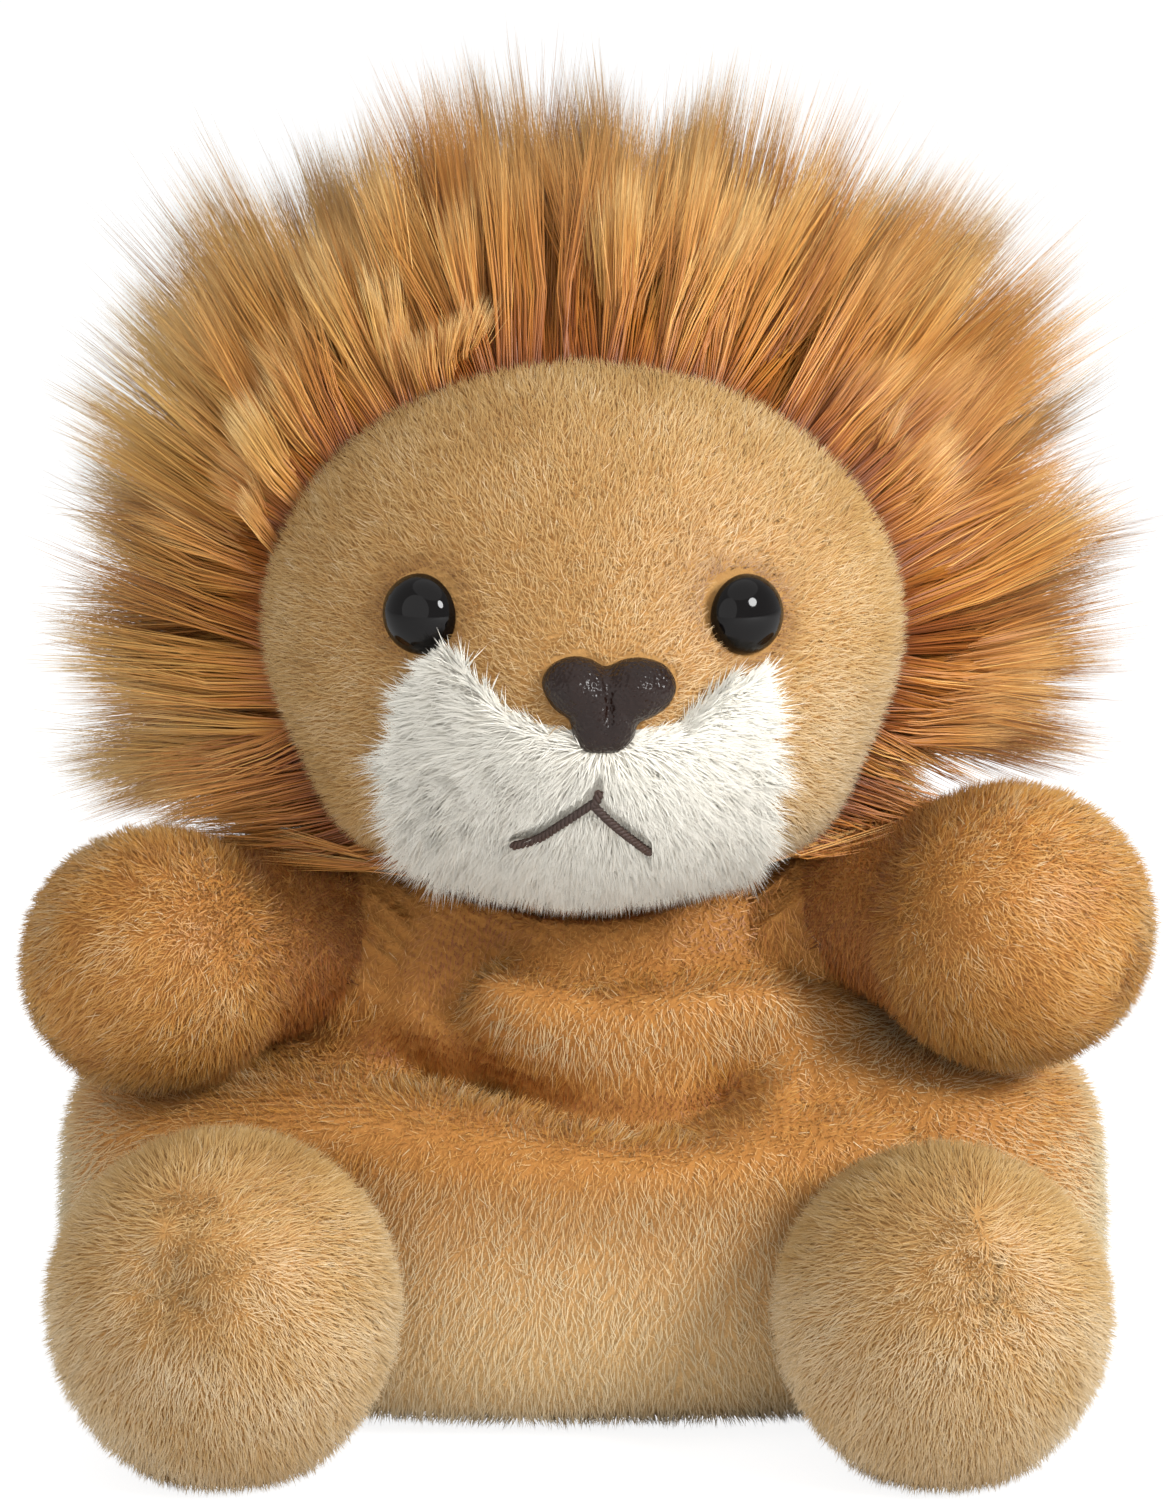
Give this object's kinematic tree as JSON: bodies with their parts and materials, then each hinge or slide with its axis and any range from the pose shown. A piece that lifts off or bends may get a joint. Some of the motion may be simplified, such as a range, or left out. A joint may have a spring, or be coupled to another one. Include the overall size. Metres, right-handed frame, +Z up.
{
  "type": "plush lion",
  "caption": "Palm-size sitting plush lion with a beaded body, sewn arms and feet, a long fur mane, a white muzzle, moulded eyes and nose, and a tufted tail.",
  "frame": {"origin": "on the flat seat under the belly, on the midline below the neck, at table level", "axes": "+Z up, the face looks along -Y, and the lion's own left is +X"},
  "size_m": [0.1006, 0.0923, 0.12],
  "materials": {
    "plush_tan": "short golden tan plush pile",
    "plush_pale": "short pale tan plush pile",
    "plush_white": "fluffy off-white plush pile",
    "mane_fur": "long shaggy fur, rust brown at the root and pale gold at the tip",
    "fibre": "loose polyester fibre",
    "beads": "plastic beads in a thin pouch",
    "eye_plastic": "polished black",
    "nose_plastic": "dark brown, pebbled, semi-gloss",
    "washer_plastic": "natural moulded plastic",
    "thread_brown": "dark brown embroidery thread",
    "thread_tan": "tan sewing thread"
  },
  "bodies": {
    "body": {"belly_panel": "plush_tan", "back_panel": "plush_tan", "pellet_pouch": "beads", "chest_fill": "fibre"},
    "neck": {"neck_gather": "plush_tan", "neck_thread": "thread_tan"},
    "head": {"face_panel": "plush_pale", "muzzle_panel": "plush_white", "mane_hood": "mane_fur", "head_fill": "fibre", "eye_right": "eye_plastic", "eye_washer_right": "washer_plastic", "eye_left": "eye_plastic", "eye_washer_left": "washer_plastic", "nose": "nose_plastic", "nose_washer": "washer_plastic", "mouth_stitch_right": "thread_brown", "mouth_stitch_left": "thread_brown", "mouth_stitch_stub": "thread_brown"},
    "arm_right": {"arm_cover_right": "plush_tan", "arm_fill_right": "fibre"},
    "arm_left": {"arm_cover_left": "plush_tan", "arm_fill_left": "fibre"},
    "leg_right": {"leg_cover_right": "plush_pale", "leg_fill_right": "beads"},
    "leg_left": {"leg_cover_left": "plush_pale", "leg_fill_left": "beads"},
    "tail": {"tail_cord": "plush_tan", "tail_tuft": "mane_fur"}
  },
  "joints": [
    {"name": "head_nod", "type": "hinge", "parent": "body", "child": "neck", "pos_m": [0, 0, 0.0495], "axis": [1, 0, 0], "range_deg": [-8, 10], "stiffness_Nm_per_rad": 0.08},
    {"name": "head_turn", "type": "hinge", "parent": "neck", "child": "head", "pos_m": [0, 0, 0.0495], "axis": [0, 0, 1], "range_deg": [-20, 20], "stiffness_Nm_per_rad": 0.02},
    {"name": "arm_right_swing", "type": "hinge", "parent": "body", "child": "arm_right", "pos_m": [-0.023, -0.003, 0.0436], "axis": [0, 0, 1], "range_deg": [-12, 18], "stiffness_Nm_per_rad": 0.004},
    {"name": "arm_left_swing", "type": "hinge", "parent": "body", "child": "arm_left", "pos_m": [0.023, -0.003, 0.0468], "axis": [0, 0, -1], "range_deg": [-12, 18], "stiffness_Nm_per_rad": 0.004},
    {"name": "leg_right_splay", "type": "hinge", "parent": "body", "child": "leg_right", "pos_m": [-0.0311, -0.01, 0.0153], "axis": [0, 0, -1], "range_deg": [-8, 20], "stiffness_Nm_per_rad": 0.006},
    {"name": "leg_left_splay", "type": "hinge", "parent": "body", "child": "leg_left", "pos_m": [0.0311, -0.01, 0.0146], "axis": [0, 0, 1], "range_deg": [-8, 20], "stiffness_Nm_per_rad": 0.006},
    {"name": "tail_wag", "type": "hinge", "parent": "body", "child": "tail", "pos_m": [0, 0.03079, 0.009], "axis": [0, 0, 1], "range_deg": [-30, 30], "stiffness_Nm_per_rad": 0.001}
  ]
}
